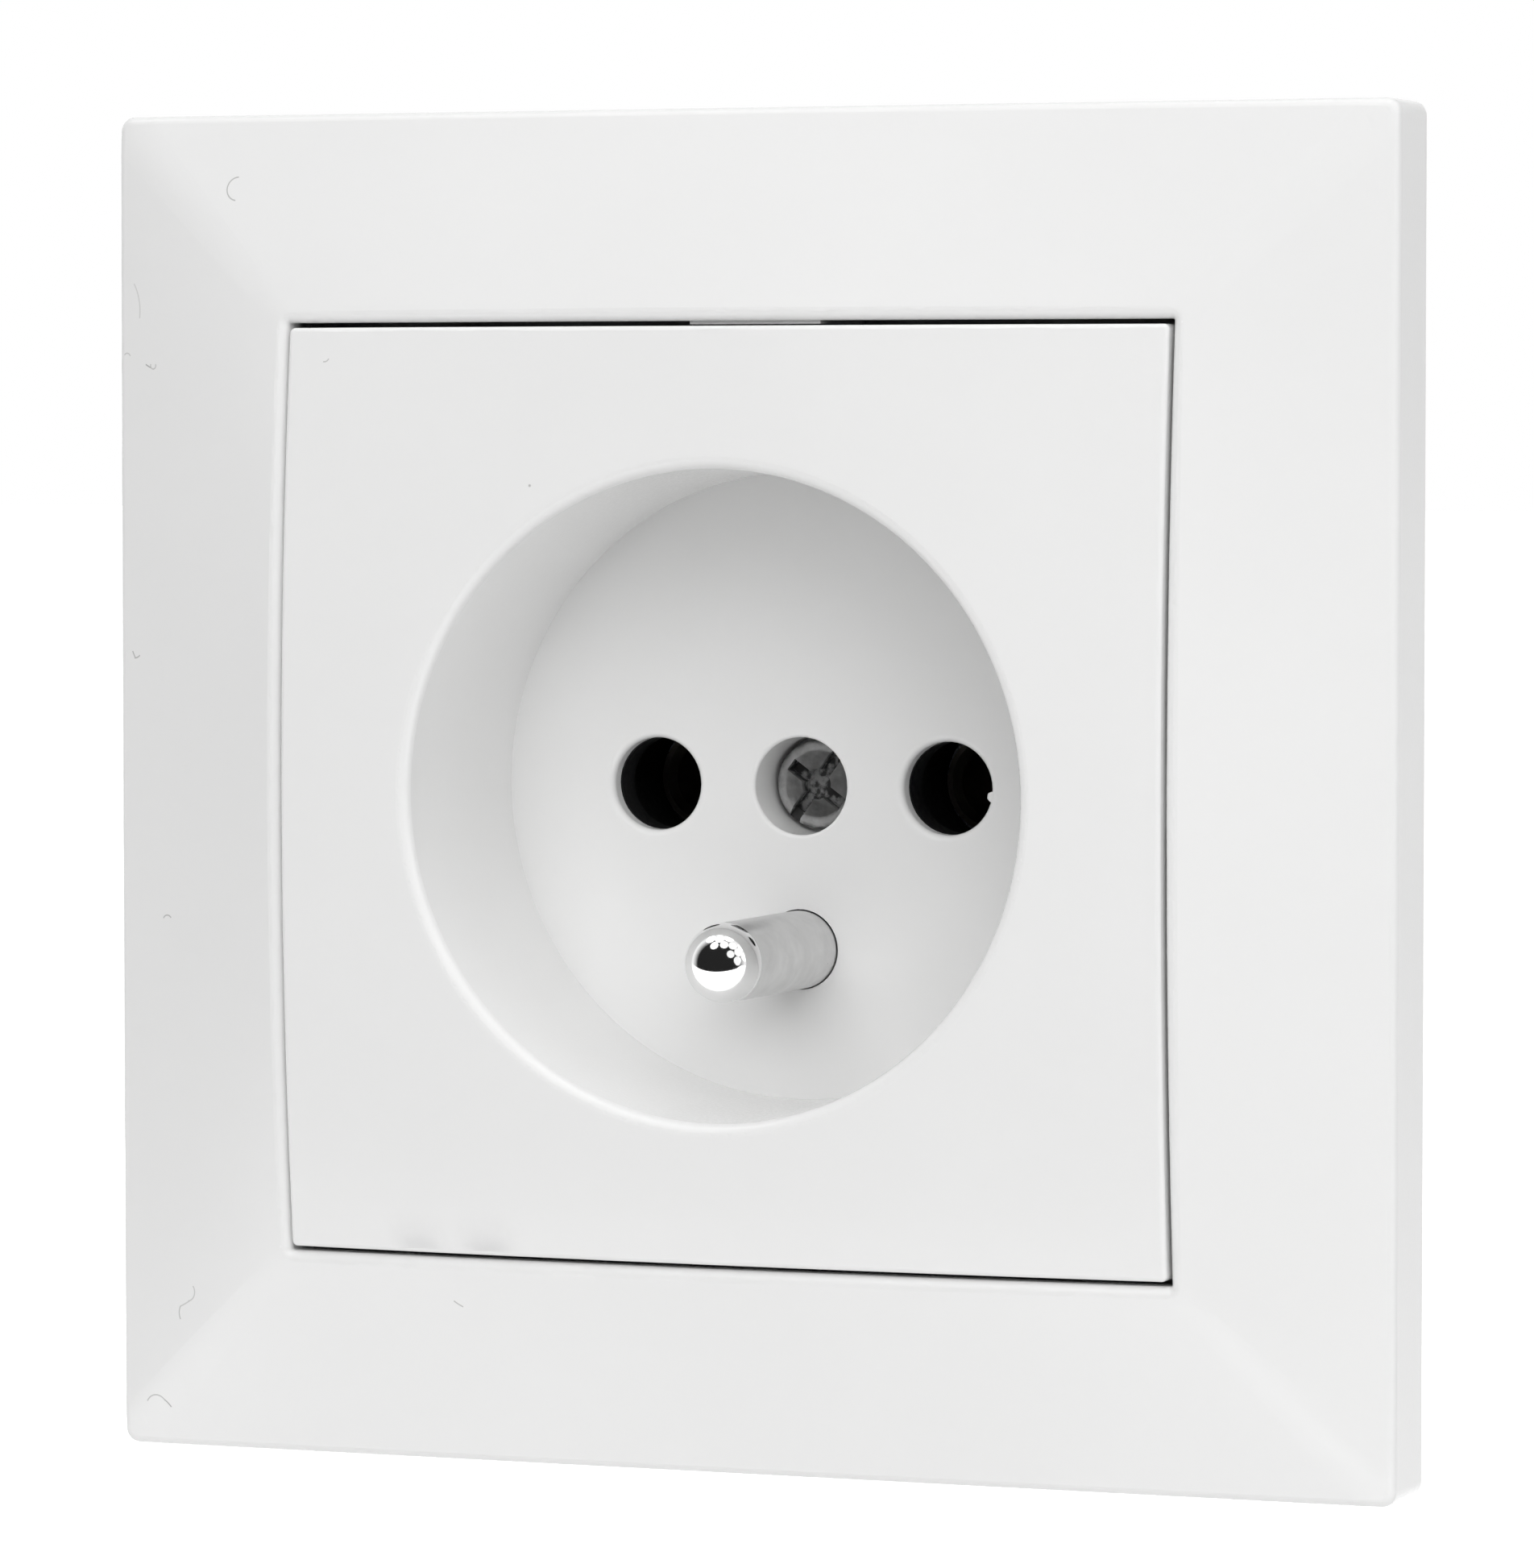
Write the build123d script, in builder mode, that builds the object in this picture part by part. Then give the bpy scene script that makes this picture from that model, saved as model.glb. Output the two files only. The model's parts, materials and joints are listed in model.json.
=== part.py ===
"""Recessed French wall socket: outer frame, bowed centre plate, steel strap and dark base with its contacts.

X runs to the right, Z up, and the front faces -Y. The plane Y = 0 is the wall.
A height is a distance in front of the wall, and a level behind the wall is negative.
"""

from build123d import *
from math import degrees, radians, sqrt, tan
import os

# Outer frame
frame_size = 82.0
frame_bar_angle = 13.9
frame_corner_radius = 0.9
frame_edge_radius = 0.6
frame_mitre_share = 0.65
frame_front_wall = 2.0
frame_side_wall = 1.8
frame_rib = 1.0
window_side_gap = 0.2
window_end_gap = 0.3
window_corner_radius = 0.15
window_edge_radius = 0.6
window_lip = 1.8
collar_wall = 1.2
lug_width = 8.4
lug_thickness = 1.4
lug_spread = 32.0
tab_width = 8.3
tab_offset = 2.2
tab_depth = 1.2
tab_clearance = 0.1

# Centre plate
plate_width = 56.1
plate_edge_height = 8.8
plate_bow = 1.5
plate_cross_bow = 1.0
plate_corner_radius = 0.35
plate_edge_radius = 0.3
plate_front_wall = 2.0
plate_skirt_wall = 1.6
plate_rib = 1.2
recess_radius = 19.5
recess_taper = 0.3
recess_depth = 16.0
recess_rim_radius = 0.7
recess_wall = 1.6
recess_floor = 1.2

# Contact holes, earth pin and cover screw
pin_pitch = 19.0
pin_hole_radius = 2.85
pin_hole_roll = 0.45
plug_pin_length = 19.0
earth_pin_radius = 2.4
earth_pin_height = 15.0
earth_pin_drop = 10.0
earth_pin_clearance = 0.07
earth_neck_radius = 2.2
earth_foot_radius = 2.9
earth_tail_radius = 1.8
screw_well_radius = 3.0
screw_well_wall = 1.1
screw_well_roll = 0.25
screw_sink = 2.8
cover_screw_head_radius = 2.75
cover_screw_head_height = 1.8
cover_screw_radius = 1.45
cover_screw_turn = -36.0

# Mounting strap
strap_thickness = 1.0
strap_corner = 8.0
strap_clearance = 0.2
strap_lip_length = 36.0
strap_lip_height = 3.0
box_screw_spacing = 60.0
box_slot_radius = 2.0
box_slot_length = 7.0

# Socket base and contact cover
base_wall = 2.2
base_flat_wall = 1.0
base_flange_thickness = 3.6
base_rear_chamfer = 1.0
recess_clearance = 0.45
cover_thickness = 2.0
cover_gap = 0.3
cover_play = 0.4
cover_fixing_x = 13.0
cover_fixing_drop = 11.5
cover_fixing_head_radius = 2.1
cover_fixing_head_height = 0.9
cover_fixing_radius = 1.15
cover_fixing_length = 8.0
rivet_radius = 1.5
rivet_head_radius = 2.6
rivet_tail_radius = 2.4
rivet_head_height = 0.8
rivet_space = 0.8

# Contacts and terminals
sheet = 1.0
sleeve_outer_radius = 3.1
sleeve_bore_radius = 2.3
sleeve_slit = 0.8
sleeve_mouth_drop = 8.8
chamber_radius = 4.0
spring_thickness = 0.5
spring_length = 3.0
spring_gap = 1.6
terminal_height = 11.7
terminal_drop = 16.0
terminal_room_width = 7.8
terminal_room_height = 7.0
earth_bar_width = 6.8
clamp_width = 7.2
clamp_height = 6.4
clamp_thickness = 1.2
terminal_head_radius = 2.6
terminal_head_height = 2.0
terminal_screw_radius = 1.45
terminal_screw_reach = 2.7
terminal_recess = 5.8
thread_clearance = 0.05
slide_clearance = 0.2

# Levels and sizes that follow from the values above
frame_half = frame_size / 2
window_half = plate_width / 2 + window_side_gap
plate_half = window_half - window_end_gap
plate_height = 2 * plate_half
frame_mitre_radius = frame_mitre_share * (frame_half - window_half)
crown_height = plate_edge_height + plate_bow + plate_cross_bow
bow_radius = (plate_half**2 + plate_bow**2) / (2 * plate_bow)
cross_radius = ((plate_width / 2) ** 2 + plate_cross_bow**2) / (2 * plate_cross_bow)
lug_back = strap_thickness + strap_clearance
lug_front = lug_back + lug_thickness
collar_half = window_half + window_lip
channel_half = collar_half + collar_wall
skirt_inside = frame_half - frame_side_wall
strap_half = (channel_half + skirt_inside + strap_thickness) / 2
strap_size = 2 * strap_half
floor_level = crown_height - recess_depth
floor_back = floor_level - recess_floor
cover_front = floor_back - cover_gap
pocket_level = cover_front - cover_thickness
screw_seat = floor_level - screw_sink - cover_screw_head_height
well_end = screw_seat - recess_wall
earth_bar_front = well_end - 3 * slide_clearance
earth_bar_back = earth_bar_front - sheet
sleeve_mouth = floor_level - sleeve_mouth_drop
tail_front = floor_level - plug_pin_length - 3.5 * slide_clearance
tail_back = tail_front - sheet
rear_level = tail_back - terminal_recess
recess_floor_radius = recess_radius - recess_taper
well_radius = screw_well_radius + screw_well_wall
pocket_radius = recess_radius + recess_wall + recess_clearance - 0.5 * recess_taper
base_radius = pocket_radius + base_wall
base_flat = pocket_radius + base_flat_wall
rivet_reach = (base_radius + rivet_tail_radius + rivet_space) / sqrt(2)
flange_half = rivet_reach + 3 * rivet_radius
pin_side = pin_pitch / 2
thread_radius = terminal_screw_radius + thread_clearance
terminal_top = terminal_height + terminal_room_height / 2
terminal_bottom = terminal_height - terminal_room_height / 2
earth_room_top = -terminal_drop + terminal_room_height / 2 + slide_clearance
earth_room_bottom = -terminal_drop - terminal_room_height / 2


def at(height):
    """The plane parallel to the wall at this height, seen from the front."""
    return Plane.XZ.offset(height)


def front_height(side, level):
    """Height of the bowed front this far to the side of the middle and above it."""
    sag = bow_radius - sqrt(bow_radius**2 - level**2)
    return crown_height - cross_radius + sqrt((cross_radius - sag) ** 2 - side**2)


def bowed_block(inset):
    """A block whose front is bowed both ways, this far behind the front of the plate."""
    swing = Axis((0, cross_radius - crown_height, 0), (0, 0, 1))
    turn = degrees(1.5 * plate_width / cross_radius)
    with BuildPart() as block:
        with BuildSketch(Plane.YZ):
            with Locations((bow_radius - crown_height, 0)):
                Circle(bow_radius - inset)
            Rectangle(4 * crown_height, 2 * plate_height, mode=Mode.INTERSECT)
        revolve(axis=swing, revolution_arc=turn)
    return block.part.rotate(swing, -turn / 2)


window_edge = front_height(window_half, window_half)
side_middle = front_height(window_half, 0)
end_middle = front_height(0, window_half)
frame_edge_height = window_edge - tan(radians(frame_bar_angle)) * (frame_half - window_half)


def bar_height(distance, window_height):
    """Height of a sloped frame bar at this distance from the middle."""
    share = (distance - window_half) / (frame_half - window_half)
    return window_height + share * (frame_edge_height - window_height)


def bar_section(plane, half_length, edge, middle):
    """One cross-section of a frame bar, flat or bowed in front."""
    with BuildSketch(plane) as section:
        with BuildLine() as outline:
            Polyline((-half_length, edge), (-half_length, 0), (half_length, 0), (half_length, edge))
            if middle > edge:
                ThreePointArc((half_length, edge), (0, middle), (-half_length, edge))
            else:
                Line((half_length, edge), (-half_length, edge))
        make_face(outline.edges())
    return section.sketch


def save(part, name):
    """Names a piece and writes it."""
    part.label = name
    export_step(part, f"parts/{name}.step")


side_bars = [
    (Plane(origin=(0, 0, 0), x_dir=(0, 0, 1), z_dir=(1, 0, 0)), side_middle),
    (Plane(origin=(0, 0, 0), x_dir=(-1, 0, 0), z_dir=(0, 0, 1)), end_middle),
    (Plane(origin=(0, 0, 0), x_dir=(0, 0, -1), z_dir=(-1, 0, 0)), side_middle),
    (Plane(origin=(0, 0, 0), x_dir=(1, 0, 0), z_dir=(0, 0, -1)), end_middle),
]
lug_reach = plate_half - plate_skirt_wall
lug_length = collar_half - lug_reach + 0.5 * collar_wall

os.makedirs("parts", exist_ok=True)

# Space behind the frame's front wall, with the ribs left standing
with BuildPart() as frame_hollow:
    for plane, middle in side_bars:
        for near, far in ((window_half - 1, collar_half), (channel_half, skirt_inside)):
            near_section = bar_section(
                plane.offset(near),
                near,
                bar_height(near, window_edge) - frame_front_wall,
                bar_height(near, middle) - frame_front_wall,
            )
            far_section = bar_section(
                plane.offset(far),
                far,
                bar_height(far, window_edge) - frame_front_wall,
                bar_height(far, middle) - frame_front_wall,
            )
            loft([near_section, far_section], ruled=True)
    rib_middle = (channel_half + skirt_inside) / 2
    rib_length = skirt_inside - channel_half
    with BuildSketch(at(lug_back)):
        with Locations(*[(sx * 0.6 * frame_half, sz * rib_middle) for sx in (-1, 1) for sz in (-1, 1)]):
            Rectangle(frame_rib, rib_length)
        with Locations(*[(sx * rib_middle, sz * 0.6 * frame_half) for sx in (-1, 1) for sz in (-1, 1)]):
            Rectangle(rib_length, frame_rib)
    extrude(amount=crown_height, mode=Mode.SUBTRACT)

# Outer frame
inner_half = window_half - window_lip
with BuildPart() as outer_frame:
    for plane, middle in side_bars:
        inner_section = bar_section(
            plane.offset(inner_half), inner_half, bar_height(inner_half, window_edge), bar_height(inner_half, middle)
        )
        outer_section = bar_section(plane.offset(frame_half), frame_half, frame_edge_height, frame_edge_height)
        loft([inner_section, outer_section], ruled=True)
    fillet(
        [e for e in outer_frame.edges().filter_by(Axis.Y) if abs(e.center().X) > window_half + 1],
        frame_corner_radius,
    )
    mitres = [
        e
        for e in outer_frame.edges()
        if abs(abs(e.center().X) - abs(e.center().Z)) < 0.1
        and e.bounding_box().size.X > 0.6 * (frame_half - window_half)
        and e.center().Y < -0.4 * frame_edge_height
    ]
    fillet(mitres, frame_mitre_radius)
    front_edges = [
        e
        for e in outer_frame.edges()
        if max(abs(e.center().X), abs(e.center().Z)) > frame_half - frame_corner_radius
        and max(-v.Y for v in e.vertices()) < frame_edge_height + 0.4 * frame_corner_radius
        and min(-v.Y for v in e.vertices()) > 0.5 * frame_edge_height
    ]
    fillet(front_edges, frame_edge_radius)
    with BuildSketch(at(0)):
        RectangleRounded(2 * window_half, 2 * window_half, window_corner_radius)
    extrude(amount=2 * crown_height, mode=Mode.SUBTRACT)
    window_edges = [
        e
        for e in outer_frame.edges()
        if max(abs(e.center().X), abs(e.center().Z)) < window_half + 0.01
        and min(-v.Y for v in e.vertices()) > 0.9 * frame_edge_height
    ]
    fillet(window_edges, window_edge_radius)
    add(frame_hollow.part, mode=Mode.SUBTRACT)
    with BuildSketch(at(0)):
        Rectangle(2 * skirt_inside, 2 * skirt_inside)
    extrude(amount=lug_back, mode=Mode.SUBTRACT)
    with BuildSketch(at(lug_back)):
        with Locations((0, lug_reach + lug_length / 2), (0, -lug_reach - lug_length / 2)):
            Rectangle(lug_width, lug_length)
        with Locations(
            *[(sx * (lug_reach + lug_length / 2), sz * lug_spread / 2) for sx in (-1, 1) for sz in (-1, 1)]
        ):
            Rectangle(lug_length, lug_width)
    extrude(amount=lug_thickness)
    with BuildSketch(at(lug_back)):
        with Locations((tab_offset, (plate_half + tab_clearance + collar_half + 0.5 * collar_wall) / 2)):
            Rectangle(tab_width, collar_half + 0.5 * collar_wall - plate_half - tab_clearance)
    extrude(amount=end_middle - tab_depth - lug_back)
    with BuildSketch(at(lug_back)):
        with Locations((-box_screw_spacing / 2, 0), (box_screw_spacing / 2, 0)):
            Circle(2 * box_slot_radius)
    extrude(amount=frame_edge_height - frame_front_wall, mode=Mode.SUBTRACT)
save(outer_frame.part, "outer_frame")

# Centre plate
with BuildPart() as plate_hollow:
    with BuildSketch(at(lug_front)):
        Rectangle(plate_width - 2 * plate_skirt_wall, plate_height - 2 * plate_skirt_wall)
    extrude(amount=crown_height)
    add(bowed_block(plate_front_wall), mode=Mode.INTERSECT)
    with BuildSketch(at(lug_front)):
        Rectangle(plate_rib, 1.6 * plate_width, rotation=45)
        Rectangle(plate_rib, 1.6 * plate_width, rotation=-45)
    extrude(amount=crown_height, mode=Mode.SUBTRACT)

with BuildPart() as centre_plate:
    with BuildSketch(at(lug_front)):
        RectangleRounded(plate_width, plate_height, plate_corner_radius)
    extrude(amount=crown_height)
    add(bowed_block(0), mode=Mode.INTERSECT)
    fillet(
        [e for e in centre_plate.edges() if min(-v.Y for v in e.vertices()) > 0.5 * plate_edge_height],
        plate_edge_radius,
    )
    add(plate_hollow.part, mode=Mode.SUBTRACT)
    with BuildSketch(Plane.XY):
        Polygon(
            (0, -floor_back),
            (recess_floor_radius + recess_wall, -floor_back),
            (recess_radius + recess_wall, -crown_height + 0.6 * plate_front_wall),
            (0, -crown_height + 0.6 * plate_front_wall),
            align=None,
        )
    revolve(axis=Axis.Y)
    with BuildSketch(at(floor_back)):
        Circle(well_radius)
    extrude(amount=well_end - floor_back)
    with BuildSketch(Plane.XY):
        Polygon(
            (0, -floor_level),
            (recess_floor_radius, -floor_level),
            (recess_radius, -crown_height),
            (recess_radius, -2 * crown_height),
            (0, -2 * crown_height),
            align=None,
        )
    revolve(axis=Axis.Y, mode=Mode.SUBTRACT)
    rim = [
        e
        for e in centre_plate.edges()
        if e.bounding_box().size.X > 1.9 * recess_radius
        and e.bounding_box().size.X < 2.1 * recess_radius
        and e.center().Y < -0.8 * plate_edge_height
    ]
    fillet(rim, recess_rim_radius)
    with BuildSketch(at(floor_level)):
        with Locations((-pin_side, 0), (pin_side, 0)):
            Circle(pin_hole_radius)
        with Locations((0, -earth_pin_drop)):
            Circle(earth_pin_radius + earth_pin_clearance)
    extrude(amount=-recess_floor, mode=Mode.SUBTRACT)
    with BuildSketch(at(floor_level)):
        Circle(screw_well_radius)
    extrude(amount=screw_seat - floor_level, mode=Mode.SUBTRACT)
    with BuildSketch(at(screw_seat)):
        Circle(cover_screw_radius + slide_clearance)
    extrude(amount=well_end - screw_seat, mode=Mode.SUBTRACT)
    hole_edges = [
        e
        for e in centre_plate.edges().filter_by(GeomType.CIRCLE)
        if abs(e.radius - pin_hole_radius) < 1e-4 and abs(e.center().Y + floor_level) < 1e-4
    ]
    fillet(hole_edges, pin_hole_roll)
    well_edges = [
        e
        for e in centre_plate.edges().filter_by(GeomType.CIRCLE)
        if abs(e.radius - screw_well_radius) < 1e-4 and abs(e.center().Y + floor_level) < 1e-4
    ]
    fillet(well_edges, screw_well_roll)
save(centre_plate.part, "centre_plate")

# Cover screw
with BuildPart() as cover_screw:
    with BuildSketch(at(screw_seat)):
        Circle(cover_screw_head_radius)
    extrude(amount=cover_screw_head_height)
    fillet(cover_screw.edges().sort_by(Axis.Y)[:1], 0.4 * cover_screw_head_height)
    with BuildSketch(at(screw_seat)):
        Circle(cover_screw_radius)
    extrude(amount=earth_bar_back - screw_seat - 4.5 * sheet)
    with BuildSketch(at(screw_seat + cover_screw_head_height)):
        Rectangle(0.3 * cover_screw_head_radius, 1.5 * cover_screw_head_radius, rotation=cover_screw_turn)
        Rectangle(1.5 * cover_screw_head_radius, 0.3 * cover_screw_head_radius, rotation=cover_screw_turn)
    extrude(amount=-0.65 * cover_screw_head_height, mode=Mode.SUBTRACT)
    with BuildSketch(at(screw_seat + cover_screw_head_height)):
        Rectangle(0.28 * cover_screw_head_radius, 3 * cover_screw_head_radius, rotation=cover_screw_turn)
    extrude(amount=-0.35 * cover_screw_head_height, mode=Mode.SUBTRACT)
    with BuildSketch(at(screw_seat + cover_screw_head_height)):
        Circle(0.34 * cover_screw_head_radius)
    extrude(amount=-0.75 * cover_screw_head_height, mode=Mode.SUBTRACT)
save(cover_screw.part, "cover_screw")

# Mounting strap
with BuildPart() as mounting_strap:
    with BuildSketch(at(0)):
        RectangleRounded(strap_size, strap_size - 2 * strap_thickness, strap_corner)
        Circle(pocket_radius + 3 * slide_clearance, mode=Mode.SUBTRACT)
        with Locations((-box_screw_spacing / 2, 0), (box_screw_spacing / 2, 0)):
            SlotOverall(box_slot_length, 2 * box_slot_radius, mode=Mode.SUBTRACT)
        with Locations(*[(sx * rivet_reach, sz * rivet_reach) for sx in (-1, 1) for sz in (-1, 1)]):
            Circle(rivet_radius + thread_clearance, mode=Mode.SUBTRACT)
    extrude(amount=strap_thickness)
    with BuildSketch(at(0)):
        with Locations((0, (strap_size - strap_thickness) / 2), (0, -(strap_size - strap_thickness) / 2)):
            Rectangle(strap_lip_length, strap_thickness)
    extrude(amount=strap_lip_height)
    bends = [
        e
        for e in mounting_strap.edges().filter_by(Axis.X)
        if abs(abs(e.center().Z) - strap_size / 2) < 0.01 and abs(e.center().Y) < 0.01
    ]
    fillet(bends, 0.8 * strap_thickness)
save(mounting_strap.part, "mounting_strap")

# Socket base
with BuildPart() as socket_base:
    with BuildSketch(at(0)):
        Circle(base_radius)
        Rectangle(2 * base_flat, 2 * base_flat, mode=Mode.INTERSECT)
    extrude(amount=rear_level)
    chamfer(socket_base.faces().sort_by(Axis.Y)[-1].edges(), base_rear_chamfer)
    with BuildSketch(at(0)):
        RectangleRounded(2 * flange_half, 2 * flange_half, 5 * rivet_radius)
    extrude(amount=-base_flange_thickness)
    with BuildSketch(at(0)):
        Circle(pocket_radius)
    extrude(amount=pocket_level, mode=Mode.SUBTRACT)
    with BuildSketch(at(pocket_level)):
        for side in (-1, 1):
            with Locations((side * pin_side, 0)):
                Circle(chamber_radius)
            with Locations((side * pin_side, terminal_bottom / 2)):
                Rectangle(2 * sleeve_outer_radius + 2 * slide_clearance, terminal_bottom)
            with Locations((side * pin_side, terminal_height)):
                Rectangle(terminal_room_width, terminal_room_height)
        with Locations((0, -terminal_drop + slide_clearance / 2)):
            Rectangle(terminal_room_width, terminal_room_height + slide_clearance)
    extrude(amount=tail_back - pocket_level, mode=Mode.SUBTRACT)
    with BuildSketch(at(pocket_level)):
        Circle(well_radius + slide_clearance)
        with Locations((0, earth_room_top / 2)):
            Rectangle(earth_bar_width + 2 * slide_clearance, -earth_room_top)
    extrude(amount=earth_bar_back - pocket_level, mode=Mode.SUBTRACT)
    with BuildSketch(at(earth_bar_back)):
        Circle(2 * thread_radius)
    extrude(amount=-6 * sheet, mode=Mode.SUBTRACT)
    with BuildSketch(at(earth_bar_back)):
        with Locations((0, -earth_pin_drop)):
            Circle(earth_foot_radius)
    extrude(amount=-1.5 * sheet, mode=Mode.SUBTRACT)
    notch_length = base_radius - terminal_bottom
    with BuildSketch(at(rear_level)):
        with Locations(
            (-pin_side, terminal_bottom + notch_length / 2), (pin_side, terminal_bottom + notch_length / 2)
        ):
            Rectangle(terminal_room_width, notch_length)
        with Locations((0, earth_room_top - slide_clearance - (base_radius + earth_room_top) / 2)):
            Rectangle(terminal_room_width, base_radius + earth_room_top)
    extrude(amount=tail_back - rear_level, mode=Mode.SUBTRACT)
    with BuildSketch(at(0)):
        with Locations(*[(sx * rivet_reach, sz * rivet_reach) for sx in (-1, 1) for sz in (-1, 1)]):
            Circle(rivet_radius + thread_clearance)
    extrude(amount=-base_flange_thickness, mode=Mode.SUBTRACT)
    with BuildSketch(at(pocket_level)):
        with Locations((-cover_fixing_x, -cover_fixing_drop), (cover_fixing_x, -cover_fixing_drop)):
            Circle(cover_fixing_radius + thread_clearance)
    extrude(amount=-cover_fixing_length, mode=Mode.SUBTRACT)
save(socket_base.part, "socket_base")

# Contact cover
with BuildPart() as contact_cover:
    with BuildSketch(at(cover_front)):
        Circle(pocket_radius - cover_play)
        Circle(well_radius + slide_clearance, mode=Mode.SUBTRACT)
        with Locations((-pin_side, 0), (pin_side, 0)):
            Circle(pin_hole_radius, mode=Mode.SUBTRACT)
        with Locations((0, -earth_pin_drop)):
            Circle(earth_pin_radius + slide_clearance, mode=Mode.SUBTRACT)
        with Locations((-cover_fixing_x, -cover_fixing_drop), (cover_fixing_x, -cover_fixing_drop)):
            Circle(cover_fixing_radius + thread_clearance, mode=Mode.SUBTRACT)
    extrude(amount=-cover_thickness)
    with BuildSketch(at(cover_front)):
        with Locations((-cover_fixing_x, -cover_fixing_drop), (cover_fixing_x, -cover_fixing_drop)):
            Circle(cover_fixing_head_radius + slide_clearance)
    extrude(amount=-cover_thickness / 2, mode=Mode.SUBTRACT)
save(contact_cover.part, "contact_cover")

# Screws that hold the contact cover
fixing_seat = cover_front - cover_thickness / 2
with BuildPart() as contact_cover_screws:
    with BuildSketch(at(fixing_seat)):
        with Locations((-cover_fixing_x, -cover_fixing_drop), (cover_fixing_x, -cover_fixing_drop)):
            Circle(cover_fixing_head_radius)
    extrude(amount=cover_fixing_head_height)
    with BuildSketch(at(fixing_seat)):
        with Locations((-cover_fixing_x, -cover_fixing_drop), (cover_fixing_x, -cover_fixing_drop)):
            Circle(cover_fixing_radius)
    extrude(amount=-0.9 * cover_fixing_length)
    with BuildSketch(at(fixing_seat + cover_fixing_head_height)):
        with Locations((-cover_fixing_x, -cover_fixing_drop), (cover_fixing_x, -cover_fixing_drop)):
            Rectangle(1.3 * cover_fixing_head_radius, 0.3 * cover_fixing_head_radius, rotation=20)
            Rectangle(0.3 * cover_fixing_head_radius, 1.3 * cover_fixing_head_radius, rotation=20)
    extrude(amount=-0.6 * cover_fixing_head_height, mode=Mode.SUBTRACT)
save(contact_cover_screws.part, "contact_cover_screws")

# Rivets that join the strap and the base
rivet_spots = [(sx * rivet_reach, sz * rivet_reach) for sx in (-1, 1) for sz in (-1, 1)]
with BuildPart() as strap_rivets:
    with BuildSketch(at(strap_thickness)):
        with Locations(*rivet_spots):
            Circle(rivet_head_radius)
    extrude(amount=rivet_head_height)
    fillet(strap_rivets.edges().group_by(Axis.Y)[0], 0.6 * rivet_head_height)
    with BuildSketch(at(strap_thickness)):
        with Locations(*rivet_spots):
            Circle(rivet_radius)
    extrude(amount=-strap_thickness - base_flange_thickness)
    with BuildSketch(at(-base_flange_thickness)):
        with Locations(*rivet_spots):
            Circle(rivet_tail_radius)
    extrude(amount=-rivet_head_height)
save(strap_rivets.part, "strap_rivets")

# Live and neutral contacts, one on each side
for side, pole in ((-1, "live"), (1, "neutral")):
    centre = side * pin_side

    with BuildPart() as contact:
        with BuildSketch(at(tail_front)):
            with Locations((centre, 0)):
                Circle(sleeve_outer_radius)
            with Locations((centre, terminal_height / 2)):
                Rectangle(2 * sleeve_outer_radius, terminal_height)
            with Locations((centre, terminal_height)):
                Rectangle(clamp_width, terminal_room_height - 2 * slide_clearance)
            with Locations((centre, terminal_height)):
                Circle(thread_radius, mode=Mode.SUBTRACT)
        extrude(amount=-sheet)
        with BuildSketch(at(tail_front)):
            with Locations((centre, 0)):
                Circle(sleeve_outer_radius)
                Circle(sleeve_bore_radius, mode=Mode.SUBTRACT)
        extrude(amount=sleeve_mouth - tail_front)
        mouth = [
            e
            for e in contact.edges().filter_by(GeomType.CIRCLE)
            if abs(e.radius - sleeve_bore_radius) < 1e-4 and abs(e.center().Y + sleeve_mouth) < 1e-4
        ]
        chamfer(mouth, 0.6 * (sleeve_outer_radius - sleeve_bore_radius))
        with BuildSketch(at(sleeve_mouth)):
            with Locations((centre, 0)):
                Rectangle(sleeve_slit, 3 * sleeve_outer_radius)
        extrude(amount=-0.85 * (sleeve_mouth - tail_front), mode=Mode.SUBTRACT)
    save(contact.part, f"{pole}_contact")

    with BuildPart() as contact_spring:
        with BuildSketch(at(sleeve_mouth - 0.5 * spring_length)):
            with Locations((centre, 0)):
                Circle(sleeve_outer_radius + thread_clearance + spring_thickness)
                Circle(sleeve_outer_radius + thread_clearance, mode=Mode.SUBTRACT)
            with Locations((centre, -sleeve_outer_radius)):
                Rectangle(spring_gap, 2 * sleeve_outer_radius, mode=Mode.SUBTRACT)
        extrude(amount=-spring_length)
    save(contact_spring.part, f"{pole}_contact_spring")

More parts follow.
